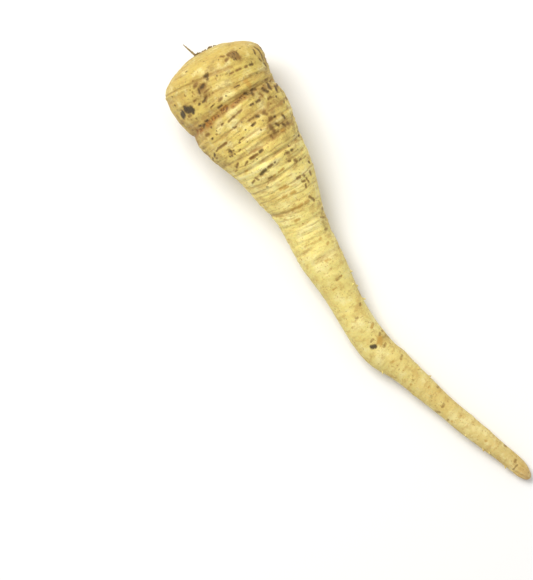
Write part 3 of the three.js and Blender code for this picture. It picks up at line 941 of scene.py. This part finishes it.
    # relief too fine for the mesh: growth rings, grain, pores and sunk dashes
    height = noises["grain"]
    for value, amount in (
            (overlap(tree, (rings, 0.12, 0.4), ringed, domed), 1.1), (noises["line"], 1.6),
            (noises["mottle"], 1.5), (shown["dashes"], -0.9), (shown["specks"], -0.5),
            (shown["darkMarks"], -0.7)):
        height = addNode(tree, "ShaderNodeMath", {
            "operation": "MULTIPLY_ADD", 0: value, 1: amount, 2: height})
    strength, distance = skin["bump"]
    bump = addNode(tree, "ShaderNodeBump", {
        "Strength": strength, "Distance": distance, "Height": height})
    surface = addNode(tree, "ShaderNodeBsdfPrincipled", {
        "Base Color": colour, "Normal": bump, "IOR": skin["ior"],
        "Roughness": overlap(tree, (
            noises["mottle"], 0.3, 0.7, skin["roughness"] - 0.08, skin["roughness"] + 0.14)),
        "Subsurface Weight": skin["glow"], "Subsurface Radius": (1, 0.6, 0.3),
        "Subsurface Scale": skin["glowDepth"]})
    addNode(tree, "ShaderNodeOutputMaterial", {"Surface": surface}, None)
    return material


dried = {
    "stalk": "#8D7444", "shade": "#4F3B20", "straw": "#B99F68", "cut": "#A38A56", "roughness": 0.86,
    "fibre": 0.28,  # millimetres between fibres, drawn coarser than the real ones so that they show
}


def driedLeafBase():
    # leaf stalks cut off and dried: brown fibres side by side, quite matt, paler and corky where cut
    material = bpy.data.materials.new("dried_leaf_base")
    material.use_nodes = True
    tree = material.node_tree
    tree.nodes.clear()
    place = addNode(tree, "ShaderNodeAttribute", {"attribute_name": "grown"}, "Vector")
    cutTop = addNode(tree, "ShaderNodeAttribute", {"attribute_name": "cutTop"}, "Fac")
    drawnOut = addNode(tree, "ShaderNodeVectorMath", {
        "operation": "MULTIPLY", 0: place, 1: (0.15, 1, 1)})
    fibres = addNode(tree, "ShaderNodeTexNoise", {
        "Vector": drawnOut, "Scale": 1 / dried["fibre"], "Detail": 3, "Roughness": 0.6})
    patches = addNode(tree, "ShaderNodeTexNoise", {"Vector": place, "Scale": 1 / 1.6, "Detail": 4})
    colour = addNode(tree, "ShaderNodeMix", {
        "data_type": "RGBA", 0: overlap(tree, (fibres, 0.38, 0.6)), 6: linear(dried["shade"]),
        7: linear(dried["stalk"])}, 2)
    for tone, value, low, high in (("straw", patches, 0.55, 0.7), ("cut", cutTop, 0.3, 1.4)):
        colour = addNode(tree, "ShaderNodeMix", {
            "data_type": "RGBA", 0: overlap(tree, (value, low, high, 0, 0.7)), 6: colour,
            7: linear(dried[tone])}, 2)
    bump = addNode(tree, "ShaderNodeBump", {"Strength": 0.7, "Distance": 0.2 * mm, "Height": fibres})
    surface = addNode(tree, "ShaderNodeBsdfPrincipled", {
        "Roughness": dried["roughness"], "Base Color": colour, "Normal": bump})
    addNode(tree, "ShaderNodeOutputMaterial", {"Surface": surface}, None)
    return material


skinMaterial = parsnipSkin()
for piece, material in (
        (rootSkin, skinMaterial), (rootlets, skinMaterial), (leafStalks, driedLeafBase())):
    piece.data.materials.clear()
    piece.data.materials.append(material)
    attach(piece, "root")
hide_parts("parsnip_root")
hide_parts("crown_leaf_stubs")
print("materials ready")

# pale table top and soft light

studio = {
    "floor": "#F4F3F0", "floorSize": 6, "floorDrop": 0.0002,
    "world": "#FFFFFF", "worldStrength": 0.5,
    "lamps": [  # place, what it points at, size, watts
        ((-0.75, -0.05, 1.1), (0, 0, 0), 0.7, 15),
        ((0.45, 0.5, 1.2), (0, 0, 0), 1.0, 1.9)],
}

bpy.ops.object.select_all(action="DESELECT")
bpy.ops.mesh.primitive_plane_add(size=studio["floorSize"], location=(0, 0, -studio["floorDrop"]))
floor = bpy.context.object
floor.name = floor.data.name = "floor"
bpy.ops.object.transform_apply()
paper = bpy.data.materials.new("matt_paper")
paper.use_nodes = True
paper.node_tree.nodes["Principled BSDF"].inputs["Base Color"].default_value = linear(studio["floor"])
paper.node_tree.nodes["Principled BSDF"].inputs["Roughness"].default_value = 0.9
floor.data.materials.append(paper)

for number, (spot, target, size, watts) in enumerate(studio["lamps"]):
    bpy.ops.object.light_add(type="AREA", location=spot)
    lamp = bpy.context.object
    lamp.name = f"lamp{number}"
    lamp.data.shape = "SQUARE"
    lamp.data.size = size
    lamp.data.energy = watts
    lamp.visible_camera = False
    away = [a - b for a, b in zip(spot, target)]
    lamp.rotation_euler = (
        math.atan2(math.hypot(away[0], away[1]), away[2]), 0, math.atan2(away[0], -away[1]))

world = bpy.data.worlds.new("studio")
world.use_nodes = True
world.node_tree.nodes["Background"].inputs["Color"].default_value = linear(studio["world"])
world.node_tree.nodes["Background"].inputs["Strength"].default_value = studio["worldStrength"]
bpy.context.scene.world = world
bpy.context.scene.view_settings.view_transform = "Standard"
print("studio ready")
